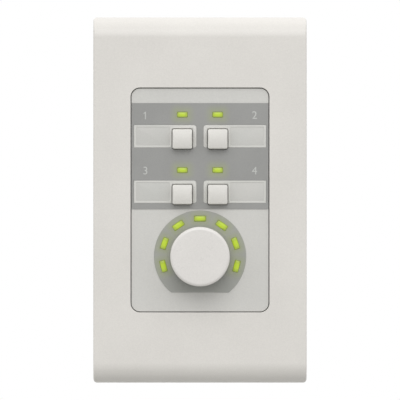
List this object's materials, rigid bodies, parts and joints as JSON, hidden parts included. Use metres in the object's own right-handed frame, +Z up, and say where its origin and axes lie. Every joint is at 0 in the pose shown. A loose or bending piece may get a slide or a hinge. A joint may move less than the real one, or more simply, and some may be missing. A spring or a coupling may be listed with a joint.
{
  "type": "audio zone control panel",
  "caption": "Wall-mounted audio zone control panel: rolled wall plate, grey insert with lit push keys and label fields, and a serrated volume dial with an arc of lamps.",
  "frame": {"origin": "middle of the wall face, half-way between the two wall-box screws", "axes": "+Z up, +Y into the wall, +X to the right as seen from the room; the front looks along -Y"},
  "size_m": [0.07, 0.0384, 0.12],
  "materials": {
    "plate_plastic": "satin",
    "frame_plastic": "satin",
    "screw_steel": "satin",
    "yoke_steel": "satin",
    "bezel_plastic": "satin",
    "film_grey": "satin",
    "key_plastic": "satin",
    "lens_plastic": "gloss",
    "knob_plastic": "satin",
    "shaft_steel": "satin",
    "die_cast": "satin",
    "black_plastic": "satin",
    "switch_steel": "satin",
    "pin_brass": "satin",
    "lamp_chip": "gloss",
    "board_green": "satin",
    "chip_black": "matt",
    "passive_tan": "matt",
    "case_plastic": "satin",
    "contact_gold": "gloss",
    "dip_blue": "satin",
    "slider_white": "satin"
  },
  "bodies": {
    "panel": {"wall_plate": "plate_plastic", "sub_frame": "frame_plastic", "frame_screws": "screw_steel", "mounting_yoke": "yoke_steel", "front_bezel": "bezel_plastic", "key_film": "film_grey", "dial_film": "film_grey", "key_light_pipes": "lens_plastic", "ring_light_guide": "lens_plastic", "encoder_bush": "die_cast", "encoder_base": "black_plastic", "encoder_pins": "pin_brass", "switch_housings": "black_plastic", "switch_covers": "switch_steel", "key_lamps": "lamp_chip", "ring_lamps": "lamp_chip", "main_board": "board_green", "board_screws": "screw_steel", "controller_chip": "chip_black", "driver_chip": "chip_black", "board_passives": "passive_tan", "rear_case": "case_plastic", "case_screws": "screw_steel", "jack_1": "black_plastic", "jack_2": "black_plastic", "jack_contacts": "contact_gold", "dip_body": "dip_blue"},
    "zone_key_1": {"key_1": "key_plastic", "plunger_1": "black_plastic"},
    "zone_key_2": {"key_2": "key_plastic", "plunger_2": "black_plastic"},
    "zone_key_3": {"key_3": "key_plastic", "plunger_3": "black_plastic"},
    "zone_key_4": {"key_4": "key_plastic", "plunger_4": "black_plastic"},
    "dial": {"knob": "knob_plastic", "encoder_shaft": "shaft_steel"},
    "dip_1": {"dip_slider_1": "slider_white"},
    "dip_2": {"dip_slider_2": "slider_white"},
    "dip_3": {"dip_slider_3": "slider_white"},
    "dip_4": {"dip_slider_4": "slider_white"},
    "dip_5": {"dip_slider_5": "slider_white"},
    "dip_6": {"dip_slider_6": "slider_white"}
  },
  "joints": [
    {"name": "zone_key_1_press", "type": "slide", "parent": "panel", "child": "zone_key_1", "axis": [0, 1, 0], "range_m": [0, 0.0005], "stiffness_N_per_m": 2000, "springref_m": -0.0002},
    {"name": "zone_key_2_press", "type": "slide", "parent": "panel", "child": "zone_key_2", "axis": [0, 1, 0], "range_m": [0, 0.0005], "stiffness_N_per_m": 2000, "springref_m": -0.0002},
    {"name": "zone_key_3_press", "type": "slide", "parent": "panel", "child": "zone_key_3", "axis": [0, 1, 0], "range_m": [0, 0.0005], "stiffness_N_per_m": 2000, "springref_m": -0.0002},
    {"name": "zone_key_4_press", "type": "slide", "parent": "panel", "child": "zone_key_4", "axis": [0, 1, 0], "range_m": [0, 0.0005], "stiffness_N_per_m": 2000, "springref_m": -0.0002},
    {"name": "dial_turn", "type": "hinge", "parent": "panel", "child": "dial", "pos_m": [0, -0.009, -0.0185], "axis": [0, 1, 0], "continuous": true},
    {"name": "dip_1_slide", "type": "slide", "parent": "panel", "child": "dip_1", "axis": [0, 0, 1], "range_m": [0, 0.0015]},
    {"name": "dip_2_slide", "type": "slide", "parent": "panel", "child": "dip_2", "axis": [0, 0, 1], "range_m": [0, 0.0015]},
    {"name": "dip_3_slide", "type": "slide", "parent": "panel", "child": "dip_3", "axis": [0, 0, 1], "range_m": [0, 0.0015]},
    {"name": "dip_4_slide", "type": "slide", "parent": "panel", "child": "dip_4", "axis": [0, 0, 1], "range_m": [0, 0.0015]},
    {"name": "dip_5_slide", "type": "slide", "parent": "panel", "child": "dip_5", "axis": [0, 0, 1], "range_m": [0, 0.0015]},
    {"name": "dip_6_slide", "type": "slide", "parent": "panel", "child": "dip_6", "axis": [0, 0, 1], "range_m": [0, 0.0015]}
  ]
}
